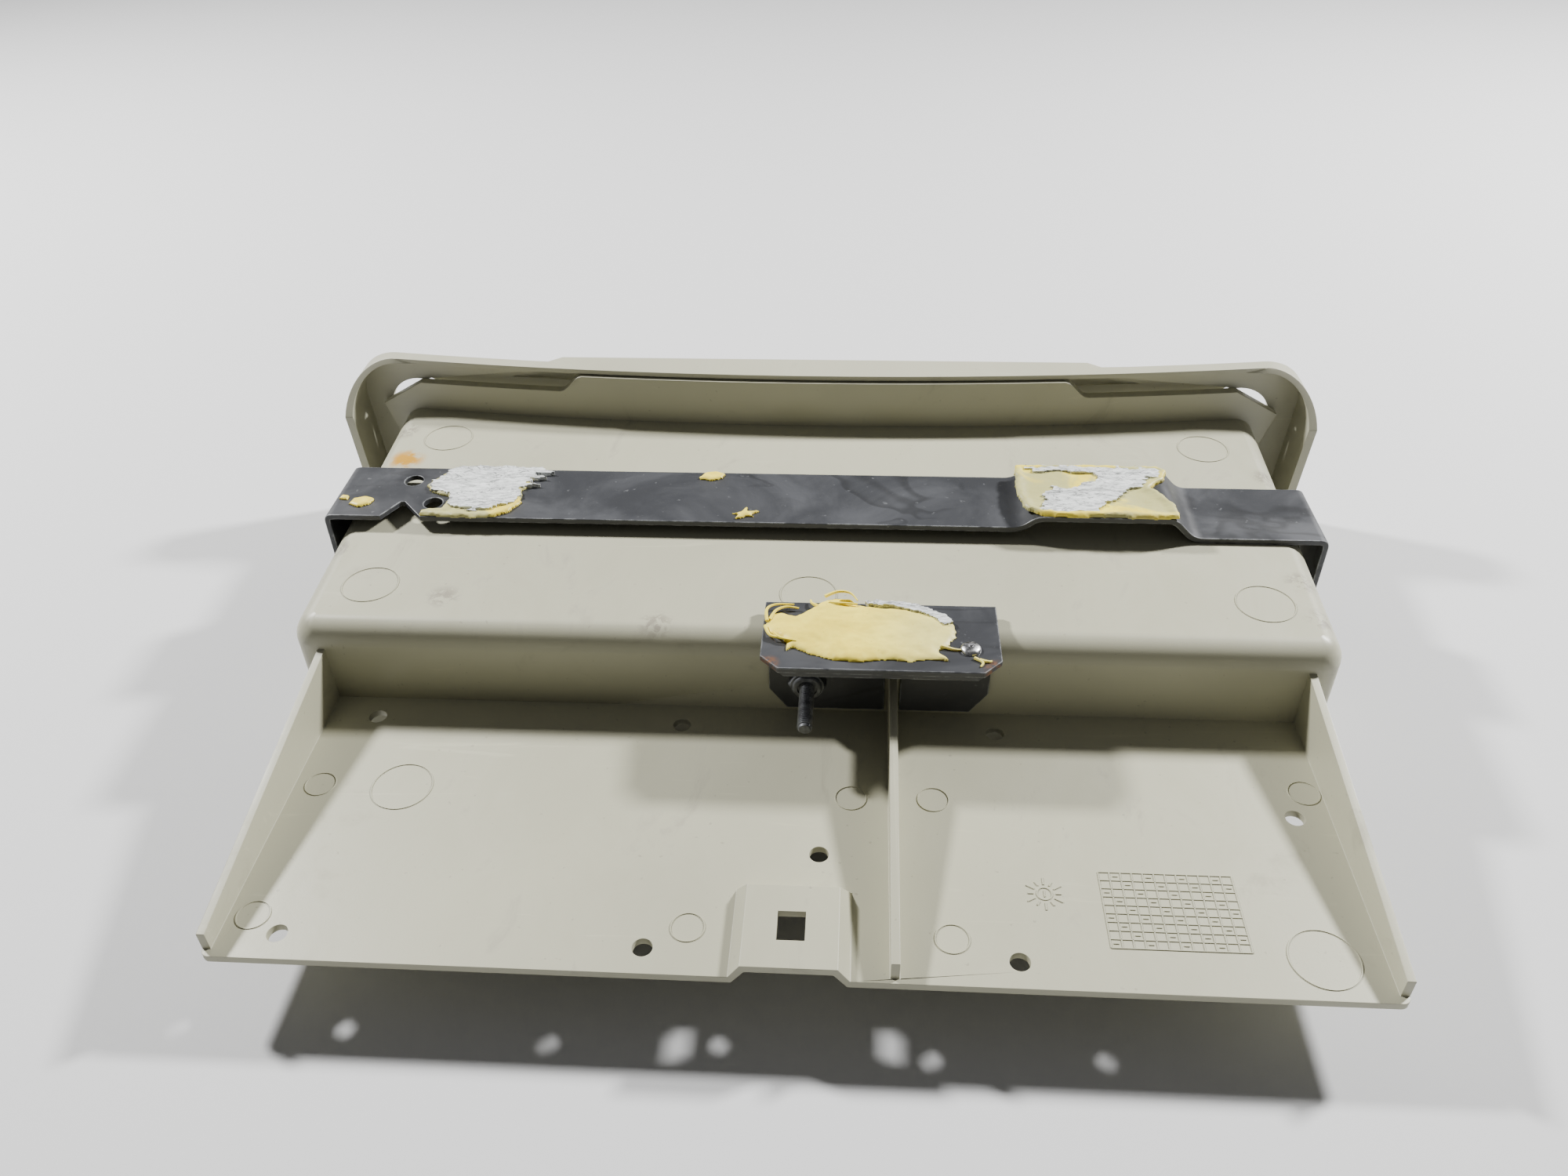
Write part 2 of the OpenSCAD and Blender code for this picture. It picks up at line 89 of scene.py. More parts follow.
class TraySizes(bpy.types.PropertyGroup):
    plastic_edge: FloatProperty(
        name="Plastic edge", description="Rounding of the mouldings' edges",
        default=0.26 * MM, min=0.1 * MM, max=1.0 * MM, unit="LENGTH", subtype="DISTANCE")
    steel_edge: FloatProperty(
        name="Steel edge", description="Rounding of the sheared steel edges",
        default=0.35 * MM, min=0.1 * MM, max=0.8 * MM, unit="LENGTH", subtype="DISTANCE")
    mark_height: FloatProperty(
        name="Mark height", description="Height of the moulded ring marks, grid and clock",
        default=0.32 * MM, min=0.1 * MM, max=0.6 * MM, unit="LENGTH", subtype="DISTANCE")
    mark_width: FloatProperty(
        name="Mark width", description="Width of the moulded ring marks",
        default=0.5 * MM, min=0.2 * MM, max=1.2 * MM, unit="LENGTH", subtype="DISTANCE")
    thread_pitch: FloatProperty(
        name="Thread pitch", description="Pitch of the clamp bolt's thread",
        default=1.0 * MM, min=0.7 * MM, max=1.25 * MM, unit="LENGTH", subtype="DISTANCE")
    glue_cell: FloatProperty(
        name="Glue cell", description="Cell of the grid that the adhesive is shaped on",
        default=0.55 * MM, min=0.4 * MM, max=1.5 * MM, unit="LENGTH", subtype="DISTANCE")
    ring_sides: IntProperty(
        name="Ring sides", description="Sides of the ring marks and turned pieces",
        default=48, min=24, max=96)


def colour(name, description, value):
    return FloatVectorProperty(
        name=name, description=description, default=value, size=3, min=0, max=1, subtype="COLOR")


class TrayColours(bpy.types.PropertyGroup):
    plastic: colour("Tray plastic", "Warm grey of the tray", (0.42, 0.41, 0.30))
    bezel: colour("Bezel plastic", "Warm grey of the bezel", (0.42, 0.41, 0.31))
    grime: colour("Grime", "Handling marks on the plastic", (0.20, 0.175, 0.14))
    stain: colour("Stain", "Rusty stain on the bin's top", (0.48, 0.24, 0.01))
    steel: colour("Steel", "Black finish of the strap and bracket", (0.027, 0.028, 0.031))
    scuff: colour("Scuff", "Scuffed steel", (0.16, 0.165, 0.17))
    rust: colour("Rust", "Rust on the cover plate's corners", (0.20, 0.075, 0.02))
    fastener: colour("Fastener", "Phosphate finish of the fasteners", (0.065, 0.067, 0.070))
    rivet: colour("Rivet", "Bare aluminium of the rivets", (0.62, 0.62, 0.63))
    glue: colour("Adhesive", "Cured adhesive", (0.97, 0.77, 0.09))
    glue_thin: colour("Thin adhesive", "Adhesive thin over the steel", (0.40, 0.40, 0.20))
    backing: colour("Torn backing", "Torn fibrous backing", (0.74, 0.76, 0.74))
    # Darker fibre tone of the backing, also used to paint shade into its creases
    backing_dark_and_crease_shade: colour("Backing shade", "Darker fibres in the torn backing", (0.38, 0.39, 0.38))
    floor: colour("Floor", "Pale studio floor", (0.66, 0.66, 0.66))


def sizes():
    return bpy.context.scene.tray_sizes


def colours():
    return bpy.context.scene.tray_colours


# ---------------------------------------------------------------------------------------------
# Materials


class Mixer:
    """Builds one material's nodes, in the piece's own Object coordinates."""

    def __init__(self, name):
        self.material = bpy.data.materials.new(name)
        self.material.use_nodes = True
        self.tree = self.material.node_tree
        self.shader = self.tree.nodes["Principled BSDF"]
        self.place = self.tree.nodes.new("ShaderNodeTexCoord").outputs["Object"]

    def node(self, kind, **values):
        made = self.tree.nodes.new(kind)
        for key, value in values.items():
            setattr(made, key, value)
        return made

    def wire(self, source, socket):
        self.tree.links.new(source, socket)

    def stretched(self, scale):
        made = self.node("ShaderNodeMapping", vector_type="POINT")
        made.inputs["Scale"].default_value = scale
        self.wire(self.place, made.inputs["Vector"])
        return made.outputs["Vector"]

    def noise(self, scale, detail=3.0, rough=0.55, stretch=None, distortion=0.0):
        made = self.node("ShaderNodeTexNoise")
        made.inputs["Scale"].default_value = scale
        made.inputs["Detail"].default_value = detail
        made.inputs["Roughness"].default_value = rough
        made.inputs["Distortion"].default_value = distortion
        self.wire(self.stretched(stretch) if stretch else self.place, made.inputs["Vector"])
        return made.outputs["Fac"]

    def ramp(self, source, low, high, from_value=0.0, to_value=1.0):
        made = self.node("ShaderNodeMapRange", interpolation_type="SMOOTHSTEP")
        for key, value in (("From Min", low), ("From Max", high), ("To Min", from_value),
                           ("To Max", to_value)):
            made.inputs[key].default_value = value
        self.wire(source, made.inputs["Value"])
        return made.outputs["Result"]

    def maths(self, operation, a, b):
        made = self.node("ShaderNodeMath", operation=operation)
        for socket, value in zip(made.inputs, (a, b)):
            if isinstance(value, (int, float)):
                socket.default_value = value
            else:
                self.wire(value, socket)
        return made.outputs["Value"]

    def near(self, point, inner, outer):
        """1 within inner of a point and 0 beyond outer."""
        made = self.node("ShaderNodeVectorMath", operation="DISTANCE")
        made.inputs[1].default_value = point
        self.wire(self.place, made.inputs[0])
        return self.ramp(made.outputs["Value"], inner, outer, 1.0, 0.0)

    def worn_edges(self, width):
        """1 along convex edges, where handling takes the finish off."""
        made = self.node("ShaderNodeBevel", samples=4)
        made.inputs["Radius"].default_value = width
        shape = self.node("ShaderNodeNewGeometry").outputs["Normal"]
        turn = self.node("ShaderNodeVectorMath", operation="DOT_PRODUCT")
        self.wire(made.outputs["Normal"], turn.inputs[0])
        self.wire(shape, turn.inputs[1])
        return self.ramp(turn.outputs["Value"], 0.99, 0.86, 0.0, 1.0)

    def blend(self, factor, a, b):
        made = self.node("ShaderNodeMix", data_type="RGBA")
        self.wire(factor, made.inputs["Factor"])
        sockets = [s for s in made.inputs if s.type == "RGBA"]
        for socket, value in zip(sockets, (a, b)):
            if hasattr(value, "is_linked"):
                self.wire(value, socket)
            else:
                socket.default_value = (*value, 1.0)
        return [s for s in made.outputs if s.type == "RGBA"][0]

    def bump(self, source, strength, distance, under=None):
        made = self.node("ShaderNodeBump")
        made.inputs["Strength"].default_value = strength
        made.inputs["Distance"].default_value = distance
        self.wire(source, made.inputs["Height"])
        if under is not None:
            self.wire(under, made.inputs["Normal"])
        return made.outputs["Normal"]

    def finish(self, base, rough, normal, **uniform):
        self.wire(base, self.shader.inputs["Base Color"])
        self.wire(rough, self.shader.inputs["Roughness"])
        self.wire(normal, self.shader.inputs["Normal"])
        for key, value in uniform.items():
            self.shader.inputs[key.replace("_", " ")].default_value = value
        return self.material


def lighter(value, factor):
    return tuple(min(1.0, channel * factor) for channel in value)


def moulded_plastic(name, tone, stain_at=None, rubbed_at=()):
    """Satin moulded plastic with a fine grain, faint flow tone and handling marks."""
    mix = Mixer(name)
    flow = mix.noise(7.0, 2.0)
    base = mix.blend(mix.ramp(flow, 0.3, 0.7), lighter(tone, 0.95), lighter(tone, 1.05))
    smudge = mix.noise(38.0, 6.0, 0.68, stretch=(1.0, 0.55, 1.0), distortion=0.8)
    base = mix.blend(mix.ramp(smudge, 0.56, 0.76, 0.0, 0.34), base, colours().grime[:])
    scrape = mix.noise(60.0, 4.0, 0.6, stretch=(0.18, 2.4, 1.0), distortion=1.4)
    base = mix.blend(mix.ramp(scrape, 0.64, 0.72, 0.0, 0.26), base, lighter(tone, 1.30))
    speck = mix.noise(420.0, 1.0)
    base = mix.blend(mix.ramp(speck, 0.74, 0.80, 0.0, 0.35), base, colours().grime[:])
    if stain_at is not None:
        mottle = mix.ramp(mix.noise(130.0, 5.0, 0.7), 0.36, 0.54)
        patch = mix.maths("MULTIPLY", mix.near(stain_at, 4 * MM, 11 * MM), mottle)
        base = mix.blend(patch, base, colours().stain[:])
    for point in rubbed_at:
        mottle = mix.ramp(mix.noise(210.0, 5.0, 0.75, distortion=1.0), 0.44, 0.56, 0.0, 0.7)
        patch = mix.maths("MULTIPLY", mix.near(point, 2 * MM, 9 * MM), mottle)
        base = mix.blend(patch, base, colours().grime[:])
    rough = mix.ramp(smudge, 0.35, 0.75, 0.40, 0.56)
    grain = mix.noise(1500.0, 2.0, 0.5)
    normal = mix.bump(grain, 0.16, 0.12 * MM)
    wave = mix.noise(30.0, 2.0)
    return mix.finish(base, rough, mix.bump(wave, 0.08, 0.8 * MM, normal), IOR=1.5)


def black_steel(name, rust_at=()):
    """Black finish on rolled steel, with pale scuffs, greasy smears and rust where it chipped."""
    mix = Mixer(name)
    steel = colours().steel[:]
    cloud = mix.noise(22.0, 5.0, 0.6, distortion=0.6)
    base = mix.blend(mix.ramp(cloud, 0.35, 0.72), lighter(steel, 1.25), lighter(steel, 2.0))
    smear = mix.noise(16.0, 2.0, 0.5, stretch=(0.6, 1.3, 1.0), distortion=1.6)
    band = mix.maths("MULTIPLY", mix.ramp(smear, 0.46, 0.50), mix.ramp(smear, 0.53, 0.51))
    where = mix.ramp(mix.noise(9.0, 1.0), 0.48, 0.60, 0.0, 0.6)
    base = mix.blend(mix.maths("MULTIPLY", band, where), base, lighter(steel, 0.5))
    scratch = mix.noise(120.0, 4.0, 0.65, stretch=(0.12, 2.2, 1.0), distortion=1.0)
    base = mix.blend(mix.ramp(scratch, 0.66, 0.78, 0.0, 0.35), base, colours().scuff[:])
    chip = mix.noise(300.0, 3.0, 0.6)
    base = mix.blend(mix.ramp(chip, 0.66, 0.74, 0.0, 0.45), base, colours().scuff[:])
    patchy = mix.ramp(mix.noise(190.0, 4.0), 0.38, 0.58)
    wear = mix.maths("MULTIPLY", mix.worn_edges(0.9 * MM), patchy)
    base = mix.blend(mix.maths("MULTIPLY", wear, 0.85), base, lighter(colours().scuff[:], 2.8))
    for point in rust_at:
        mottle = mix.ramp(mix.noise(240.0, 5.0, 0.75), 0.40, 0.58)
        patch = mix.maths("MULTIPLY", mix.near(point, 1 * MM, 6 * MM), mottle)
        base = mix.blend(patch, base, colours().rust[:])
    rough = mix.ramp(cloud, 0.3, 0.75, 0.34, 0.58)
    normal = mix.bump(mix.noise(900.0, 3.0, 0.6), 0.20, 0.10 * MM)
    return mix.finish(base, rough, normal, IOR=1.5)


def phosphate(name):
    """Dull grey-black phosphate finish of small fasteners."""
    mix = Mixer(name)
    tone = colours().fastener[:]
    base = mix.blend(mix.ramp(mix.noise(260.0, 4.0), 0.35, 0.7), tone, lighter(tone, 2.4))
    rough = mix.ramp(mix.noise(420.0, 3.0), 0.3, 0.7, 0.42, 0.62)
    normal = mix.bump(mix.noise(2200.0, 2.0), 0.25, 0.06 * MM)
    return mix.finish(base, rough, normal, Metallic=0.45)


def bare_rivet(name):
    """Bright aluminium with tool marks."""
    mix = Mixer(name)
    tone = colours().rivet[:]
    base = mix.blend(mix.ramp(mix.noise(500.0, 3.0), 0.4, 0.7), lighter(tone, 0.6), tone)
    rough = mix.ramp(mix.noise(700.0, 3.0), 0.3, 0.7, 0.22, 0.46)
    normal = mix.bump(mix.noise(1400.0, 2.0), 0.3, 0.08 * MM)
    return mix.finish(base, rough, normal, Metallic=1.0)


def cured_glue(name, thin=0.0, thinner_at=None):
    """Cured adhesive: pale and waxy where it is thick, greenish where steel shows through."""
    mix = Mixer(name)
    tone = colours().glue[:]
    cloud = mix.noise(70.0, 5.0, 0.6, distortion=0.7)
    base = mix.blend(mix.ramp(cloud, 0.3, 0.75), lighter(tone, 0.86), lighter(tone, 1.08))
    film = mix.noise(38.0, 3.0, 0.5, distortion=0.9)
    base = mix.blend(
        mix.ramp(film, 0.62 - thin, 0.74 - thin, 0.0, 0.85), base, colours().glue_thin[:])
    if thinner_at is not None:
        fade = mix.maths("MULTIPLY", mix.near(thinner_at, 4 * MM, 40 * MM), 0.55)
        base = mix.blend(fade, base, lighter(colours().glue_thin[:], 1.5))
    speck = mix.noise(600.0, 2.0)
    base = mix.blend(mix.ramp(speck, 0.70, 0.76, 0.0, 0.4), base, lighter(tone, 0.45))
    rough = mix.ramp(cloud, 0.3, 0.7, 0.40, 0.60)
    fine = mix.bump(mix.noise(900.0, 3.0), 0.25, 0.10 * MM)
    normal = mix.bump(mix.noise(180.0, 3.0), 0.35, 0.35 * MM, fine)
    mix.shader.inputs["Subsurface Radius"].default_value = (1.0, 0.7, 0.35)
    return mix.finish(base, rough, normal, Subsurface_Weight=0.12, Subsurface_Scale=1.5 * MM)


def torn_fibre(name):
    """Torn paper-like backing: pale fibres that run across, with painted shade in its crease
    hollows.
    """
    mix = Mixer(name)
    fibres = mix.noise(420.0, 6.0, 0.7, stretch=(0.30, 1.0, 1.0), distortion=1.8)
    creases = mix.noise(110.0, 5.0, 0.65, stretch=(0.6, 1.4, 1.0), distortion=2.2)
    base = mix.blend(mix.ramp(fibres, 0.32, 0.62), colours().backing_dark_and_crease_shade[:], colours().backing[:])
    # Painted shade: the backing darkens along its creases, the same pattern that drives the bump
    base = mix.blend(mix.ramp(creases, 0.60, 0.72, 0.0, 0.5), base, colours().backing_dark_and_crease_shade[:])
    flakes = mix.noise(90.0, 4.0, 0.6, stretch=(0.5, 1.6, 1.0), distortion=1.2)
    crack = mix.maths("ABSOLUTE", mix.maths("SUBTRACT", flakes, 0.5), 0)
    base = mix.blend(mix.ramp(crack, 0.022, 0.0, 0.0, 0.85), base,
                     lighter(colours().backing_dark_and_crease_shade[:], 0.4))
    rough = mix.ramp(fibres, 0.3, 0.7, 0.82, 0.96)
    fine = mix.bump(fibres, 0.6, 0.25 * MM)
    return mix.finish(base, rough, mix.bump(creases, 0.7, 0.8 * MM, fine), IOR=1.4)


def finish_of(key):
    """Each finish is made once and shared by the pieces that have it."""
    found = bpy.data.materials.get(key)
    if found:
        return found
    plate_corners = [Vector((x, PLATE_BOX[0].y + 3 * MM, PLATE_TOP - 2 * MM))
                     for x in (PLATE_BOX[0].x + 3 * MM, PLATE_BOX[1].x - 3 * MM)]
    stained_at = spot(-198, 256, BIN_TOP)
    thinner_at = spot(56, 126, PLATE_TOP)
    rubbed_at = [spot(x, y, BIN_TOP) for x, y in (
        (-205, 183), (-150, 150), (-60, 136), (201, 172), (203, 148), (-206, 283), (207, 252))]
    makers = {
        "tray_plastic_finish":
            lambda: moulded_plastic(key, colours().plastic[:], stained_at, rubbed_at),
        "bezel_plastic_finish": lambda: moulded_plastic(key, colours().bezel[:]),
        "strap_steel_finish": lambda: black_steel(key),
        "plate_steel_finish": lambda: black_steel(key, plate_corners),
        "fastener_finish": lambda: phosphate(key),
        "rivet_finish": lambda: bare_rivet(key),
        "adhesive_finish": lambda: cured_glue(key, thinner_at=thinner_at),
        "thin_adhesive_finish": lambda: cured_glue(key, thin=0.16),
        "torn_backing_finish": lambda: torn_fibre(key),
    }
    return makers[key]()


# ---------------------------------------------------------------------------------------------
# Modelling


def piece(name, bm, finish, body=TRAY_BODY, replaced=()):
    """Turns a finished bmesh into a piece that rides on a body."""
    mesh = bpy.data.meshes.new(name)
    for face in bm.faces:
        face.smooth = True
    bm.to_mesh(mesh)
    bm.free()
    mesh.set_sharp_from_angle(angle=SMOOTH_ANGLE)
    made = bpy.data.objects.new(name, mesh)
    bpy.context.scene.collection.objects.link(made)
    mesh.materials.append(finish_of(finish))
    even = made.modifiers.new("even_normals", "WEIGHTED_NORMAL")
    even.weight = 100
    even.keep_sharp = True
    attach(made, body)
    if replaced:
        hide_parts(*replaced)
    return made


def cad_copy(node):
    """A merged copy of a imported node's triangles, with slivers on its flat faces turned."""
    bm = bmesh.new()
    bm.from_mesh(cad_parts[node].data)
    bmesh.ops.remove_doubles(bm, verts=bm.verts[:], dist=0.002 * MM)
    flat = [e for e in bm.edges if len(e.link_faces) == 2 and e.calc_face_angle(1) < FLAT_ANGLE]
    bmesh.ops.beautify_fill(bm, faces=bm.faces[:], edges=flat, method="ANGLE")
    return bm


def round_edges(bm, width, wanted=None):
    """Rounds the sharp edges of a closed form."""
    picked = [e for e in bm.edges if len(e.link_faces) == 2
              and e.calc_face_angle(0) > EDGE_ANGLE and (wanted is None or wanted(e))]
    bmesh.ops.bevel(bm, geom=picked, offset=width, segments=2, profile=0.5,
                    affect="EDGES", clamp_overlap=False, material=-1)


def lies_at_y(edge, y):
    return all(abs(v.co.y - y) < TOUCHING for v in edge.verts)


def gather(target, source):
    """Adds one bmesh's form to another."""
    holder = bpy.data.meshes.new("holder")
    source.to_mesh(holder)
    source.free()
    target.from_mesh(holder)
    bpy.data.meshes.remove(holder)


def turned(bm, profile, centre, axis, sides):
    """Spins a closed outline of (radius, distance along the axis) points all round an axis."""
    axis = Vector(axis).normalized()
    side = axis.orthogonal().normalized()
    verts = [bm.verts.new(Vector(centre) + side * r + axis * d) for r, d in profile]
    edges = [bm.edges.new((verts[i], verts[(i + 1) % len(verts)])) for i in range(len(verts))]
    bmesh.ops.spin(bm, geom=verts + edges, cent=centre, axis=axis, angle=2 * math.pi,
                   steps=sides, use_merge=True)


def face_outwards(bm):
    bmesh.ops.recalc_face_normals(bm, faces=bm.faces[:])


def tidy_shell(bm):
    """Closes the seams and poles of turned forms."""
    bmesh.ops.remove_doubles(bm, verts=bm.verts[:], dist=0.003 * MM)
    face_outwards(bm)


def loop_edges(verts):
    """The edges that join a ring's vertices to each other."""
    return list({e for v in verts for e in v.link_edges if all(w in verts for w in e.verts)})


def ring_stack(bm, rings, centre, axis, sides):
    """Joins rings, each (distance along the axis, radius at an angle), into a closed band."""
    axis = Vector(axis).normalized()
    turn = axis.to_track_quat("Z", "Y").to_matrix().to_4x4()
    loops = []
    for distance, radius in rings:
        made = bmesh.ops.create_circle(bm, segments=sides, radius=1.0)["verts"]
        for vert in made:
            bearing = math.atan2(vert.co.y, vert.co.x)
            vert.co = vert.co * radius(bearing)
            vert.co.z = distance
        loops.append(made)
    for first, second in zip(loops, loops[1:] + loops[:1]):
        bmesh.ops.bridge_loops(bm, edges=loop_edges(first) + loop_edges(second))
    verts = [v for loop in loops for v in loop]
    bmesh.ops.transform(bm, matrix=Matrix.Translation(centre) @ turn, verts=verts)


def round_at(radius):
    return lambda bearing: radius


def hex_at(across_flats, limit=None):
    """The radius of a hexagon at a bearing, cut off by a round chamfer."""
    def radius(bearing):
        off = (bearing % (math.pi / 3)) - math.pi / 6
        flat = across_flats / 2 / math.cos(off)
        return flat if limit is None else min(flat, limit)
    return radius


def swept_tube(bm, points, radii):
    """A closed six-sided string of adhesive through points, with a radius at each."""
    previous = None
    for index, point in enumerate(points):
        ahead = points[min(index + 1, len(points) - 1)] - points[max(index - 1, 0)]
        turn = ahead.normalized().to_track_quat("Z", "X").to_matrix().to_4x4()
        ring = bmesh.ops.create_circle(
            bm, segments=6, radius=radii[index], cap_ends=index in (0, len(points) - 1),
            matrix=Matrix.Translation(point) @ turn)["verts"]
        if previous:
            bmesh.ops.bridge_loops(bm, edges=loop_edges(previous) + loop_edges(ring))
        previous = ring


# ---------------------------------------------------------------------------------------------
# Adhesive and torn backing


def inside_depth(outline, x, y):
    """How far a point is inside an outline; negative outside."""
    inside, nearest = False, 1e9
    for (ax, ay), (bx, by) in zip(outline, outline[1:] + outline[:1]):
        if (ay > y) != (by > y) and x < (bx - ax) * (y - ay) / (by - ay) + ax:
            inside = not inside
        dx, dy = bx - ax, by - ay
        along = max(0.0, min(1.0, ((x - ax) * dx + (y - ay) * dy) / (dx * dx + dy * dy)))
        nearest = min(nearest, math.hypot(x - ax - along * dx, y - ay - along * dy))
    return nearest if inside else -nearest


def swirl(x, y, across, along, seed):
    """Steady noise from about -1 to 1, with features of the given sizes in millimetres."""
    return noise.fractal(Vector((x / across, y / along, seed)), 0.9, 2.1, 3)


def spread(bm, outline, base, height):
    """Shapes a closed sheet over an outline, as thick as height(x, y, depth), in millimetres."""
    cell, margin = sizes().glue_cell / MM, 3
    low = [min(p[i] for p in outline) - margin for i in (0, 1)]
    high = [max(p[i] for p in outline) + margin for i in (0, 1)]
    counts = [max(4, round((high[i] - low[i]) / cell)) for i in (0, 1)]
    grid = bmesh.ops.create_grid(
        bm, x_segments=counts[0], y_segments=counts[1], size=0.5)["verts"]
    bare = []
    for vert in grid:
        x = low[0] + (vert.co.x + 0.5) * (high[0] - low[0])
        y = low[1] + (vert.co.y + 0.5) * (high[1] - low[1])
        thick = height(x, y, inside_depth(outline, x, y))
        vert.co = spot(x, y, base + max(thick, 0) * MM)
        if thick <= 0:
            bare.append(vert)
    bmesh.ops.delete(bm, geom=bare, context="VERTS")
    kept = [v for v in grid if v.is_valid]
    loose = [v for v in kept if not v.link_faces]
    bmesh.ops.delete(bm, geom=loose, context="VERTS")
    kept = [v for v in kept if v.is_valid]
    rim = [v for v in kept if v.is_boundary]
    for _ in range(2):
        bmesh.ops.smooth_vert(bm, verts=rim, factor=0.5, use_axis_x=True, use_axis_y=True)
    faces = list({f for v in kept for f in v.link_faces})
    grown = bmesh.ops.extrude_face_region(bm, geom=faces)["geom"]
    under = [g for g in grown if isinstance(g, bmesh.types.BMVert)]
    for vert in under:
        vert.co.z = base - GLUE_SINK


def smooth_line(points, parts):
    """Points along a soft curve through a few chosen ones."""
    made = []
    ends = [points[0]] + points + [points[-1]]
    for a, b, c, d in zip(ends, ends[1:], ends[2:], ends[3:]):
        for i in range(parts):
            t = i / parts
            made.append(0.5 * (2 * b + (c - a) * t + (2 * a - 5 * b + 4 * c - d) * t ** 2
                               + (3 * b - a - 3 * c + d) * t ** 3))
    return made + [points[-1]]


# ---------------------------------------------------------------------------------------------
# Operators


class TRAY_OT_moulding(bpy.types.Operator):
    """Tray moulding: the bin, rear shelf, gussets, clip pad and mouth flange"""
    bl_idname = "tray.moulding"
    bl_label = "Tray moulding"

    joined = 2 * MM
    clear = 0.5 * MM

    def execute(self, context):
        form = cad_copy("bin_shell")
        shelf = cad_copy("rear_shelf")
        inside_wall = WALL_Y + self.joined
        for vert in shelf.verts:
            if abs(vert.co.y - WALL_Y) < TOUCHING:
                vert.co.y = inside_wall
        round_edges(shelf, sizes().plastic_edge, lambda e: not lies_at_y(e, inside_wall))
        gather(form, shelf)
        flange = cad_copy("mouth_flange")
        bin_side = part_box("bin_shell")[1].x + self.clear

        def clear_of_bin(edge):
            middle = (edge.verts[0].co + edge.verts[1].co) / 2
            return middle.z > BIN_TOP + self.clear or abs(middle.x) > bin_side

        round_edges(flange, sizes().plastic_edge, clear_of_bin)
        gather(form, flange)
        piece("tray_moulding", form, "tray_plastic_finish",
              replaced=("bin_shell", "rear_shelf", "mouth_flange"))
        return {"FINISHED"}


class TRAY_OT_ring_marks(bpy.types.Operator):
    """Ring marks that the mould's ejector pins left on the bin and shelf"""
    bl_idname = "tray.ring_marks"
    bl_label = "Ring marks"

    large = 11.6
    small = 5.8
    on_bin = ((-182.7, 157), (0, 157), (182.7, 157), (-183, 276.5), (183, 276.5))
    on_shelf_large = ((-152.6, 78.8), (174.5, 15.7))
    on_shelf_small = ((-184.5, 78.7), (-185.7, 17.3), (-35.3, 18.9), (53.8, 18.2), (18.9, 80),
                      (49.7, 80.5), (187.9, 89.5))

    def ring(self, bm, x, y, z, radius):
        """A low ridge round a circle, sunk a little into the face it stands on."""
        width, height = sizes().mark_width, sizes().mark_height
        sink = 0.2 * MM
        profile = [(radius - width / 2, -sink), (radius - width / 3, height),
                   (radius + width / 3, height), (radius + width / 2, -sink)]
        turned(bm, profile, spot(x, y, z), (0, 0, 1), sizes().ring_sides)

    def execute(self, context):
        bm = bmesh.new()
        for x, y in self.on_bin:
            self.ring(bm, x, y, BIN_TOP, self.large * MM)
        for x, y in self.on_shelf_large:
            self.ring(bm, x, y, SHELF_TOP, self.large * MM)
        for x, y in self.on_shelf_small:
            self.ring(bm, x, y, SHELF_TOP, self.small * MM)
        tidy_shell(bm)
        piece("ejector_ring_marks", bm, "tray_plastic_finish")
        return {"FINISHED"}


class TRAY_OT_date_marks(bpy.types.Operator):
    """Moulded tick grid and date clock on the shelf, without figures or letters"""
    bl_idname = "tray.date_marks"
    bl_label = "Grid and date clock"

    grid_low = (106, 17)
    grid_cell = (3.83, 3.52)
    grid_count = (12, 9)
    clock = (86.4, 38.4)
    hub = ((2.3, -0.2), (2.4, 0.3), (2.8, 0.3), (2.9, -0.2))
    ticks = 12
    tick_start = 3.8
    tick_ends = (5.8, 7.0)

    def rib(self, bm, ax, ay, bx, by, width):
        """A low rib along the shelf from a to b."""
        a, b = spot(ax, ay, SHELF_TOP), spot(bx, by, SHELF_TOP)
        turn = Matrix.Rotation(math.atan2(b.y - a.y, b.x - a.x), 4, "Z")
        size = Matrix.Diagonal(((b - a).length, width * MM, 2 * sizes().mark_height, 1))
        made = bmesh.ops.create_cube(
            bm, size=1.0, matrix=Matrix.Translation((a + b) / 2) @ turn @ size)["verts"]
        top = [e for v in made for e in v.link_edges if all(w.co.z > SHELF_TOP for w in e.verts)]
        bmesh.ops.bevel(bm, geom=list(set(top)), offset=0.1 * MM, segments=1, profile=0.5,
                        affect="EDGES", material=-1)

    def execute(self, context):
        bm = bmesh.new()
        (x0, y0), (dx, dy), (nx, ny) = self.grid_low, self.grid_cell, self.grid_count
        for i in range(nx + 1):
            self.rib(bm, x0 + i * dx, y0, x0 + i * dx, y0 + ny * dy, 0.45)
        for j in range(ny + 1):
            self.rib(bm, x0, y0 + j * dy, x0 + nx * dx, y0 + j * dy, 0.45)
        for i in range(nx):
            for j in range(ny):
                if (i + j) % 3 == 0:
                    x, y = x0 + (i + 0.5) * dx, y0 + (j + 0.5) * dy
                    self.rib(bm, x - 0.9, y, x + 0.9, y, 0.4)
        piece("shelf_tick_grid", bm, "tray_plastic_finish")
        bm = bmesh.new()
        x, y = self.clock
        turned(bm, [(r * MM, h * MM) for r, h in self.hub], spot(x, y, SHELF_TOP), (0, 0, 1),
               sizes().ring_sides)
        for k in range(self.ticks):
            bearing = 2 * math.pi * k / self.ticks
            near, far = self.tick_start, self.tick_ends[k % 2]
            c, s = math.cos(bearing), math.sin(bearing)
            self.rib(bm, x + near * c, y + near * s, x + far * c, y + far * s, 0.55)
        self.rib(bm, x, y - 1.4, x, y + 1.4, 0.5)
        tidy_shell(bm)
        piece("shelf_date_clock", bm, "tray_plastic_finish")
        return {"FINISHED"}


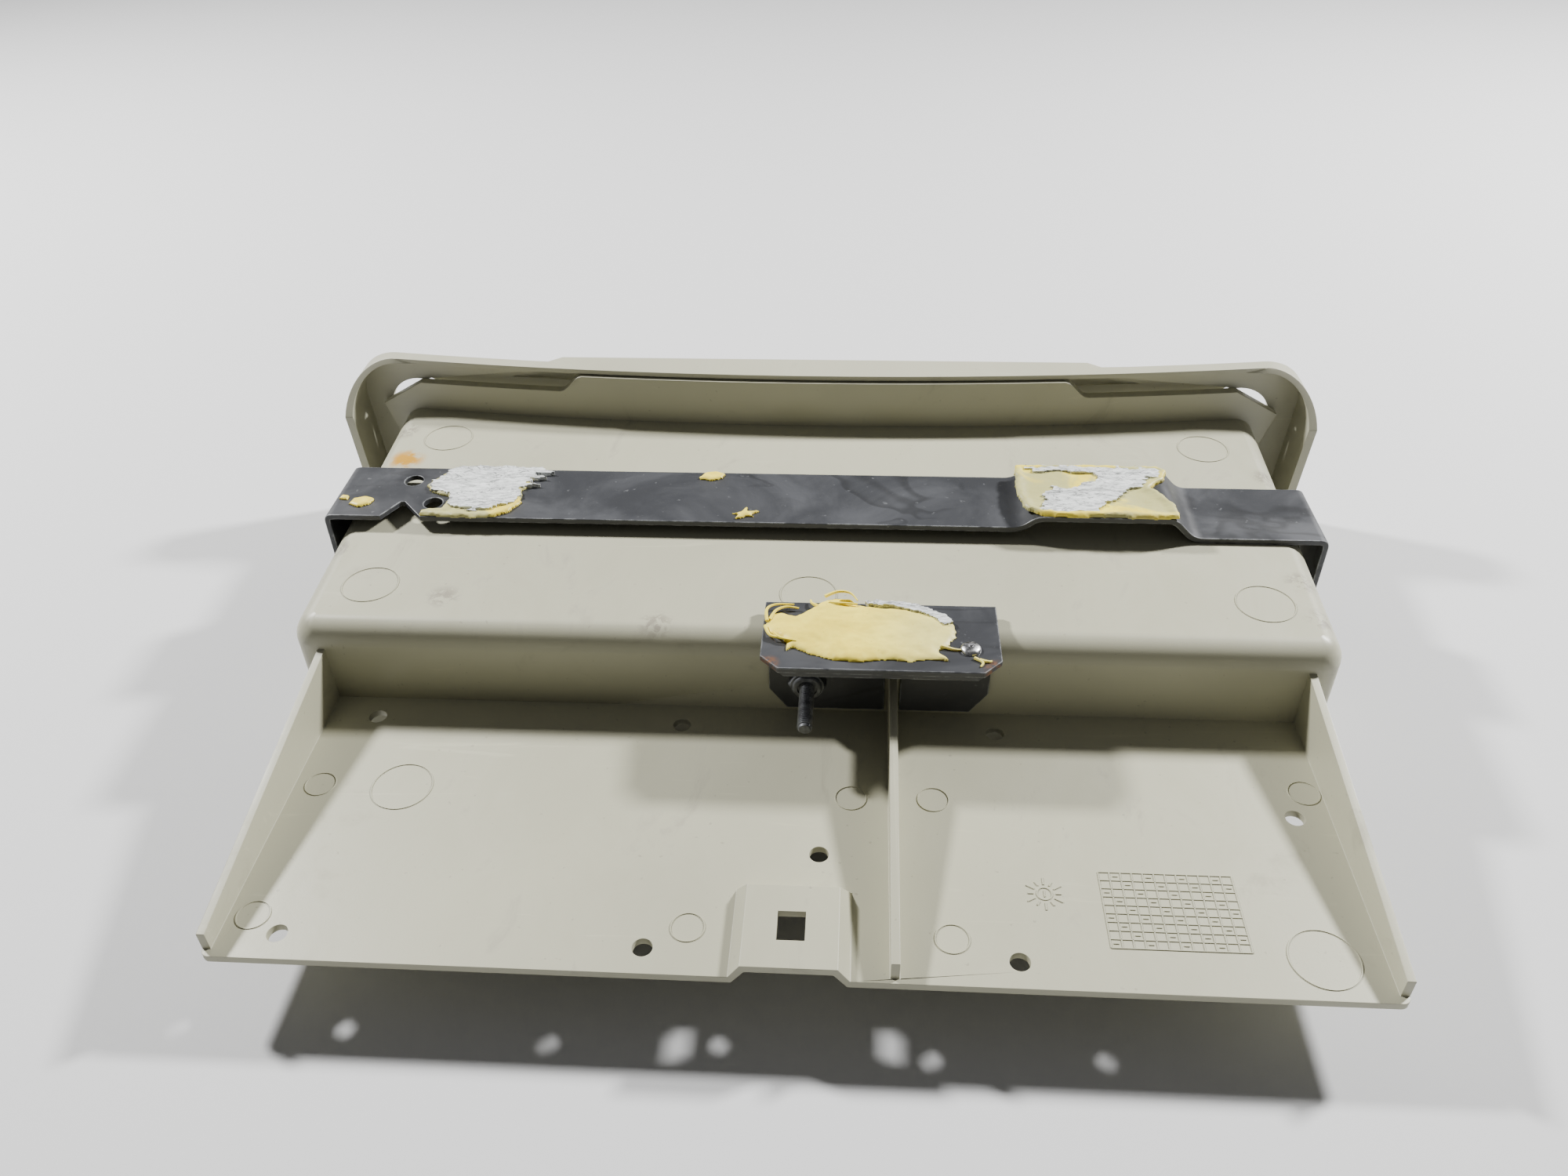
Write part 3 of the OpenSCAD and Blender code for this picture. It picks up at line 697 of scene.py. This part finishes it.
class TRAY_OT_bezel(bpy.types.Operator):
    """Front bezel: a separate curved moulding round the mouth"""
    bl_idname = "tray.bezel"
    bl_label = "Front bezel"

    def execute(self, context):
        form = cad_copy("front_bezel")
        round_edges(form, sizes().plastic_edge)
        piece("front_bezel_moulding", form, "bezel_plastic_finish",
              replaced=("front_bezel",))
        return {"FINISHED"}


class TRAY_OT_steel(bpy.types.Operator):
    """Folded strap, angle bracket and cover plate with their sheared edges softened"""
    bl_idname = "tray.steel"
    bl_label = "Strap and bracket"

    def execute(self, context):
        for node, name, finish in (
                ("hold_down_strap", "folded_strap", "strap_steel_finish"),
                ("angle_bracket", "slotted_angle_bracket", "strap_steel_finish"),
                ("cover_plate", "bracket_cover_plate", "plate_steel_finish")):
            form = cad_copy(node)
            round_edges(form, sizes().steel_edge)
            piece(name, form, finish, replaced=(node,))
        return {"FINISHED"}


class TRAY_OT_bolt(bpy.types.Operator):
    """Clamp bolt with its thread cut all the way to its head inside the bin"""
    bl_idname = "tray.bolt"
    bl_label = "Clamp bolt"

    radius = 3 * MM
    thread_share = 0.61
    crest_share = 0.06
    ridge_sink = 0.08 * MM
    steps_per_turn = 24
    tip_chamfer = 0.6 * MM
    tip_recess = 0.4 * MM
    head_flats = 10 * MM
    head_pip = 0.4 * MM

    def core(self, bm, length, root):
        """The thread's root cylinder, chamfered at its free end."""
        base = self.tip_recess
        profile = [(0, base), (root - self.tip_chamfer / 2, base), (root, base + self.tip_chamfer),
                   (root, length), (0, length)]
        turned(bm, profile, (BOLT_AXIS[0], BOLT_BOX[0].y, BOLT_AXIS[1]), (0, 1, 0),
               sizes().ring_sides)

    def ridge(self, bm, length, root, pitch):
        """The thread's ridge, wound round the core."""
        crest = self.radius - self.crest_share * pitch
        outline = [(root - self.ridge_sink, -0.46), (crest, -0.08), (crest, 0.08),
                   (root - self.ridge_sink, 0.46)]
        start = Vector((BOLT_AXIS[0], BOLT_BOX[0].y + pitch, BOLT_AXIS[1]))
        side = Vector((0, 1, 0)).orthogonal().normalized()
        verts = [bm.verts.new(start + side * r + Vector((0, d * pitch, 0))) for r, d in outline]
        face = bm.faces.new(verts)
        turns, steps = int(length / pitch) - 1, self.steps_per_turn
        bmesh.ops.spin(
            bm, geom=[face] + list(face.edges) + verts, cent=start, axis=(0, 1, 0),
            dvec=(0, pitch / steps, 0), angle=2 * math.pi * turns, steps=steps * turns)

    def head(self, bm, seat_y):
        """The hexagonal head, chamfered on its outer face."""
        flats, top = self.head_flats, BOLT_BOX[1].y - seat_y
        rings = [(0, round_at(self.head_pip)), (0, hex_at(flats)), (top - 0.6 * MM, hex_at(flats)),
                 (top, hex_at(flats, flats * 0.49)), (top, round_at(self.head_pip))]
        ring_stack(bm, rings, (BOLT_AXIS[0], seat_y, BOLT_AXIS[1]), (0, 1, 0), 24)

    def execute(self, context):
        pitch = sizes().thread_pitch
        root = self.radius - self.thread_share * pitch
        seat_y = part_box("inner_washer")[1].y
        length = seat_y - BOLT_BOX[0].y
        bm = bmesh.new()
        self.core(bm, length + 0.5 * MM, root)
        self.ridge(bm, length, root, pitch)
        self.head(bm, seat_y)
        tidy_shell(bm)
        piece("threaded_clamp_bolt", bm, "fastener_finish",
              replaced=("clamp_bolt",))
        return {"FINISHED"}


class TRAY_OT_nut(bpy.types.Operator):
    """Lock nut with its chamfers and collar, and the washer under it"""
    bl_idname = "tray.nut"
    bl_label = "Lock nut and washers"

    flats = 13 * MM
    bore = 3.06 * MM
    chamfer = 0.7 * MM
    collar_radius = 5.75 * MM
    collar_height = 1.8 * MM
    collar_bore = 3.9 * MM
    washer_bore = 3.3 * MM
    washer_edge = 0.18 * MM

    def washer(self, node, name, finish, slot, body):
        """A flat washer with its edges softened."""
        low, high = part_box(node)
        outer, bore = (high.x - low.x) / 2, self.washer_bore
        thick, soft = high.y - low.y, self.washer_edge
        profile = [(bore, 0), (outer - soft, 0), (outer, soft), (outer, thick - soft),
                   (outer - soft, thick), (bore + soft, thick), (bore, thick - soft)]
        bm = bmesh.new()
        turned(bm, profile, (BOLT_AXIS[0], low.y, BOLT_AXIS[1]), (0, 1, 0), sizes().ring_sides)
        tidy_shell(bm)
        piece(name, bm, finish, body, replaced=(node,))

    def execute(self, context):
        low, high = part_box("lock_nut")
        height = high.y - low.y - self.collar_height
        full, cut = hex_at(self.flats), hex_at(self.flats, self.flats * 0.505)
        collar, bore = self.collar_radius, round_at(self.bore)
        top = height + self.collar_height
        bm = bmesh.new()
        ring_stack(bm, [
            (0, bore), (0, cut), (self.chamfer, full), (height - self.chamfer, full), (height, cut),
            (height, round_at(collar)), (height + 1.1 * MM, round_at(collar)),
            (height + 1.6 * MM, round_at(collar - 0.4 * MM)), (top, round_at(collar - 1.0 * MM)),
            (top, round_at(self.collar_bore)), (height + 0.9 * MM, round_at(3.8 * MM)),
            (height + 0.8 * MM, bore)],
            (BOLT_AXIS[0], high.y, BOLT_AXIS[1]), (0, -1, 0), 48)
        tidy_shell(bm)
        piece("collared_lock_nut", bm, "fastener_finish", "nut",
              replaced=("lock_nut",))
        self.washer("outer_washer", "plain_washer", "fastener_finish", "black_fastener", "washer")
        self.washer("inner_washer", "load_spreading_washer", "rivet_finish", "rivet_metal",
                    TRAY_BODY)
        return {"FINISHED"}


class TRAY_OT_rivets(bpy.types.Operator):
    """Blind rivets with the broken mandrel in their domes, and the strap's spacers"""
    bl_idname = "tray.rivets"
    bl_label = "Rivets and spacers"

    tail = 3 * MM
    soft = 0.2 * MM
    sides = 32

    def rivet(self, node, name, axis, shank, head, grip):
        """A rivet whose dome faces along an axis, on its seat at the head's foot."""
        low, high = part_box(node)
        axis = Vector(axis)
        rise = 0.5 * head
        top = (low + high) / 2 + axis * abs((high - low).dot(axis)) / 2
        seat = top - axis * rise
        dome = [(0, rise * 0.72), (shank * 0.36, rise * 0.74), (shank * 0.42, rise * 0.96)]
        steps = 7
        for i in range(steps + 1):
            bearing = math.radians(12 + 78 * i / steps)
            dome.append((head * math.sin(bearing) ** 0.9, rise * math.cos(bearing) ** 0.8
                         if i < steps else 0.0))
        end = -grip - self.tail
        set_tail = [(shank, 0), (shank, -grip), (shank * 1.5, -grip - 0.3 * MM),
                    (shank * 1.5, end + 0.4 * MM), (shank * 1.1, end), (0, end)]
        bm = bmesh.new()
        turned(bm, dome + set_tail, seat, axis, self.sides)
        tidy_shell(bm)
        piece(name, bm, "rivet_finish", replaced=(node,))

    def execute(self, context):
        head = 4 * MM
        self.rivet("bracket_rivet", "bracket_blind_rivet", (0, 0, 1), 2 * MM, head, 5 * MM)
        for side, sign in (("left", -1), ("right", 1)):
            node = "strap_rivet_" + side
            low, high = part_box(node)
            grip = (high.x - low.x) - self.tail - head / 2
            self.rivet(node, "strap_blind_rivet_" + side, (sign, 0, 0), 1.9 * MM, head, grip)
            self.spacer(side, 1.95 * MM)
        return {"FINISHED"}

    def spacer(self, side, bore):
        """A ring between the strap's leg and the bin's wall."""
        low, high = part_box("strap_spacer_" + side)
        centre = (low.x, (low.y + high.y) / 2, (low.z + high.z) / 2)
        outer, length, soft = (high.y - low.y) / 2, high.x - low.x, self.soft
        bm = bmesh.new()
        turned(bm, [(bore, 0), (outer - soft, 0), (outer, soft), (outer, length - soft),
                    (outer - soft, length), (bore, length)], centre, (1, 0, 0), self.sides)
        tidy_shell(bm)
        piece("strap_spacer_ring_" + side, bm, "fastener_finish",
              replaced=("strap_spacer_" + side,))


class TRAY_OT_bracket_glue(bpy.types.Operator):
    """Adhesive squeezed over the cover plate, with strings and a strip of torn backing"""
    bl_idname = "tray.bracket_glue"
    bl_label = "Bracket adhesive"

    outline = [(-14, 124), (-16, 130), (-15, 135.5), (-10, 137.5), (-4, 136), (0, 139.5),
               (4, 143.5), (8, 147), (13, 148.5), (18, 147), (20, 143.5), (24, 142.5),
               (34, 142), (46, 139.5), (54, 136.5), (58, 132), (58.5, 125), (54.5, 119),
               (51.5, 116.5), (55.5, 110.5), (48, 110.8), (38, 109.5), (30, 110.8),
               (21, 108.4), (11, 109.5), (2, 112.5), (-4, 116), (-7, 114.8), (-7, 118.5),
               (-9, 121.5)]
    strip = [(22, 144.8), (24, 141.6), (33, 141.2), (42, 138.6), (49, 134.6), (54, 129.4),
             (58, 131.5), (55, 136.5), (48, 141), (38, 144.3), (29, 144.9)]
    strings = (
        ((-15, 131, 1.5), (-15.5, 137, 2.4), (-12, 140.4, 2.2), (-5, 141.6, 1.4)),
        ((-14, 132, 1.3), (-12, 137, 1.8), (-8, 139.8, 1.6), (-3, 139.6, 1.2)),
        ((4, 141, 1.6), (2, 142.5, 1.6), (1.4, 145, 1.2)),
        ((7, 146.5, 2.0), (12, 148.6, 2.9), (17, 148.2, 2.7), (20, 144.5, 1.8)),
        ((9, 143, 1.8), (14, 141.6, 2.6), (20, 141.8, 2.2)),
        ((-15.5, 128, 1.3), (-13, 122, 1.6), (-7, 120.5, 1.6), (-2, 120, 1.4)),
        ((-12, 124, 1.4), (-9, 120.4, 1.9), (-3, 119, 1.7)),
        ((52, 119, 0.9), (57, 117.5, 0.5), (61, 117.6, 0.4)),
        ((64, 113, 0.4), (67, 110.6, 0.4), (66, 108.2, 0.3)),
        ((66, 112, 0.3), (69, 111, 0.5), (70.4, 111.6, 0.3)),
    )

    def height(self, x, y, depth):
        """A crowned pool with a wavy edge and one open bubble at its far side."""
        depth += 0.9 * swirl(x, y, 6, 6, 1.7)
        in_bubble = math.hypot((x - 15.5) * 0.75, (y - 144) * 1.4) < 1.9
        if depth <= 0 or in_bubble:
            return -1
        crown = 1.9 * (1 - math.exp(-depth / 1.6))
        return crown + 0.45 * swirl(x, y, 12, 8, 5.1) + 0.12 * swirl(x, y, 3, 3, 2.0)

    def strip_height(self, x, y, depth):
        """A torn strip of even height with a ragged edge."""
        depth += 0.8 * swirl(x, y, 3, 2, 9.3)
        return 2.4 + 0.35 * swirl(x, y, 4, 2, 3.3) if depth > 0 else -1

    def execute(self, context):
        bm = bmesh.new()
        spread(bm, self.outline, PLATE_TOP, self.height)
        for line in self.strings:
            points = [spot(x, y, PLATE_TOP + z * MM) for x, y, z in line]
            fine = smooth_line(points, 5)
            count = len(fine)
            swept_tube(bm, fine, [(0.75 - 0.45 * i / count) * MM for i in range(count)])
        face_outwards(bm)
        piece("bracket_glue", bm, "adhesive_finish", replaced=("bracket_adhesive",))
        bm = bmesh.new()
        spread(bm, self.strip, PLATE_TOP, self.strip_height)
        face_outwards(bm)
        piece("bracket_torn_strip", bm, "torn_backing_finish",
              replaced=("bracket_backing",))
        return {"FINISHED"}


class TRAY_OT_strap_glue(bpy.types.Operator):
    """Adhesive patches on both ends of the strap, their torn backing and the small dabs"""
    bl_idname = "tray.strap_glue"
    bl_label = "Strap adhesive"

    left = [(-174, 198.2), (-174, 203), (-165, 204), (-163.5, 212), (-173, 217), (-177, 222),
            (-172, 230), (-167, 238), (-150, 238.5), (-128, 238), (-130, 231), (-128, 226),
            (-132, 219), (-129.5, 210), (-134, 202), (-141, 197.6), (-158, 197)]
    left_sheet = [(-157, 203), (-163, 206), (-164, 213), (-174, 218), (-175, 224), (-166, 237.5),
                  (-152, 238.6), (-122, 238.6), (-128, 235.4), (-120, 233.6), (-129, 231.5),
                  (-123, 229), (-131, 226.6), (-125, 223.5), (-133, 220), (-130, 215),
                  (-133, 208), (-143, 203.5), (-150, 201.5)]
    right = [(89, 238), (88, 226), (88, 212), (91, 203), (97, 198), (110, 197.5), (130, 198),
             (148, 197), (156, 198), (155, 208), (150, 218), (147, 221), (154, 228), (156, 235),
             (152, 238.3), (130, 239), (108, 239)]
    right_sheet = [(91, 236.5), (93, 233), (105, 232.5), (124, 231.5), (123, 226), (116, 221.5),
                   (110, 219), (104, 221), (99, 214), (99, 207), (95, 202), (102, 198.8),
                   (122, 199.5), (126, 206), (131, 212), (138, 219), (146, 223), (147, 228),
                   (154, 230), (154, 235), (151, 237.6), (130, 238.3), (112, 238.3)]
    dabs = (
        ("strap_dab_far", [(-54, 232), (-51, 237), (-46, 238.5), (-41, 236.5), (-42, 232),
                           (-47, 230)]),
        ("strap_dab_star", [(-37, 204.6), (-32, 205.4), (-29, 210.5), (-28.4, 206.4),
                            (-22, 207.2), (-26.6, 203.6), (-24.5, 201.4), (-29, 202),
                            (-34.5, 199.2), (-33, 203)]),
        ("strap_dab_end", [(-208, 206), (-207, 211), (-202, 213), (-197, 211), (-198, 206),
                           (-203, 203.5)]),
        ("strap_dab_grey", [(-214, 210), (-213, 214), (-209, 213), (-209, 209)]),
    )

    def rimmed(self, low, rim, seed, ragged=0.8):
        """A sheet that is thin in the middle and thick at its rolled rim."""
        def height(x, y, depth):
            depth += ragged * swirl(x, y, 5, 4, seed)
            if depth <= 0:
                return -1
            roll = rim * math.exp(-((depth - 1.8) / 2.2) ** 2)
            edge = 1 - math.exp(-depth / 0.7)
            return (low + roll) * edge + 0.25 * swirl(x, y, 9, 7, seed + 3)
        return height

    def fibrous(self, base, seed, tear):
        """A torn sheet with creases, whose edge tears along its fibres."""
        def height(x, y, depth):
            depth += tear * swirl(x, y, 9, 1.6, seed) + 0.5 * swirl(x, y, 2, 2, seed + 1)
            if depth <= 0:
                return -1
            crease = abs(swirl(x, y, 9, 4, seed + 5))
            return base + 0.55 * crease + 0.22 * swirl(x, y, 2.4, 1.2, seed + 8)
        return height

    def execute(self, context):
        jobs = (
            ("left_glue", self.left, STRAP_TOP, self.rimmed(0.7, 1.0, 4.4), "thin_adhesive_finish",
             "adhesive", "left_adhesive"),
            ("left_torn_sheet", self.left_sheet, STRAP_TOP, self.fibrous(1.7, 7.7, 1.8),
             "torn_backing_finish", "torn_backing", "left_backing"),
            ("right_glue", self.right, STRAP_HUMP_TOP, self.rimmed(0.8, 1.3, 12.4),
             "thin_adhesive_finish", "adhesive", "right_adhesive"),
            ("right_torn_sheet", self.right_sheet, STRAP_HUMP_TOP, self.fibrous(1.6, 21.7, 2.2),
             "torn_backing_finish", "torn_backing", "right_backing"),
        )
        for name, outline, base, height, finish, slot, node in jobs:
            bm = bmesh.new()
            spread(bm, outline, base, height)
            face_outwards(bm)
            piece(name, bm, finish, replaced=(node,))
        for name, outline in self.dabs:
            bm = bmesh.new()
            spread(bm, outline, STRAP_TOP, self.rimmed(0.9, 0.5, len(name) * 1.3, 0.5))
            face_outwards(bm)
            piece(name, bm, "adhesive_finish",
                  replaced=("strap_adhesive_dabs",) if name == "strap_dab_far" else ())
        return {"FINISHED"}


class TRAY_OT_stage(bpy.types.Operator):
    """Pale floor, soft lamps and the camera"""
    bl_idname = "tray.stage"
    bl_label = "Stage"

    camera_at = (0.0186, -0.3965, 0.3689)
    camera_down = math.radians(37.45)
    camera_left = math.radians(4.156)
    camera_roll = math.radians(-1.294)
    lens = 28.02
    floor_size = 9.0
    lamp_away = 1.9
    lamp_size = 0.20
    sky_strength = 0.13
    lamps = (("lamp_right", (1.15, 0.66, 1.0), 76.0), ("lamp_left", (-1.05, 0.58, 1.0), 62.0))

    def execute(self, context):
        bm = bmesh.new()
        bmesh.ops.create_grid(bm, x_segments=1, y_segments=1, size=self.floor_size)
        mesh = bpy.data.meshes.new("studio_floor")
        bm.to_mesh(mesh)
        bm.free()
        floor = bpy.data.objects.new("studio_floor", mesh)
        mix = Mixer("floor_finish")
        tone = colours().floor[:]
        base = mix.blend(mix.noise(3.0), lighter(tone, 0.985), tone)
        grain = mix.noise(300.0)
        mesh.materials.append(mix.finish(base, mix.ramp(grain, 0, 1, 0.7, 0.8),
                                         mix.bump(grain, 0.05, 0.1 * MM)))
        context.scene.collection.objects.link(floor)
        for name, towards, watts in self.lamps:
            light = bpy.data.lights.new(name, "AREA")
            light.shape = "DISK"
            light.size = self.lamp_size
            light.energy = watts
            lamp = bpy.data.objects.new(name, light)
            away = Vector(towards).normalized()
            lamp.matrix_world = (Matrix.Translation(away * self.lamp_away)
                                 @ away.to_track_quat("Z", "Y").to_matrix().to_4x4())
            context.scene.collection.objects.link(lamp)
        world = bpy.data.worlds.new("studio")
        world.use_nodes = True
        sky = world.node_tree.nodes["Background"].inputs
        sky["Color"].default_value = (1, 1, 1, 1)
        sky["Strength"].default_value = self.sky_strength
        context.scene.world = world
        self.camera(context)
        return {"FINISHED"}

    def camera(self, context):
        down, left, roll = self.camera_down, self.camera_left, self.camera_roll
        forward = Vector((-math.sin(left) * math.cos(down), math.cos(left) * math.cos(down),
                          -math.sin(down)))
        right = Vector((math.cos(left), math.sin(left), 0))
        up = right.cross(forward)
        across = math.cos(roll) * right + math.sin(roll) * up
        upward = math.cos(roll) * up - math.sin(roll) * right
        data = bpy.data.cameras.new("studio_camera")
        data.lens = self.lens
        data.sensor_width = 36.0
        made = bpy.data.objects.new("studio_camera", data)
        turn = Matrix((across, upward, -forward)).transposed().to_4x4()
        made.matrix_world = Matrix.Translation(self.camera_at) @ turn
        context.scene.collection.objects.link(made)
        context.scene.camera = made


OPERATORS = (
    TRAY_OT_moulding, TRAY_OT_ring_marks, TRAY_OT_date_marks, TRAY_OT_bezel, TRAY_OT_steel,
    TRAY_OT_bolt, TRAY_OT_nut, TRAY_OT_rivets, TRAY_OT_bracket_glue, TRAY_OT_strap_glue,
    TRAY_OT_stage,
)


class TRAY_PT_panel(bpy.types.Panel):
    """Sizes, colours and pieces of the tray"""
    bl_label = "Cab storage tray"
    bl_idname = "TRAY_PT_panel"
    bl_space_type = "VIEW_3D"
    bl_region_type = "UI"
    bl_category = "Tray"

    def draw(self, context):
        for group in (context.scene.tray_sizes, context.scene.tray_colours):
            box = self.layout.box()
            for key in group.__annotations__:
                box.prop(group, key)
        for operator in OPERATORS:
            self.layout.operator(operator.bl_idname)


CLASSES = (TraySizes, TrayColours) + OPERATORS + (TRAY_PT_panel,)


def register():
    for item in CLASSES:
        bpy.utils.register_class(item)
    bpy.types.Scene.tray_sizes = PointerProperty(type=TraySizes)
    bpy.types.Scene.tray_colours = PointerProperty(type=TrayColours)


def unregister():
    del bpy.types.Scene.tray_colours
    del bpy.types.Scene.tray_sizes
    for item in reversed(CLASSES):
        bpy.utils.unregister_class(item)


def main():
    register()
    bpy.ops.tray.moulding()
    bpy.ops.tray.ring_marks()
    bpy.ops.tray.date_marks()
    bpy.ops.tray.bezel()
    bpy.ops.tray.steel()
    bpy.ops.tray.bolt()
    bpy.ops.tray.nut()
    bpy.ops.tray.rivets()
    bpy.ops.tray.bracket_glue()
    bpy.ops.tray.strap_glue()
    bpy.ops.tray.stage()
    bpy.context.view_layer.update()


if __name__ == "__main__":
    main()
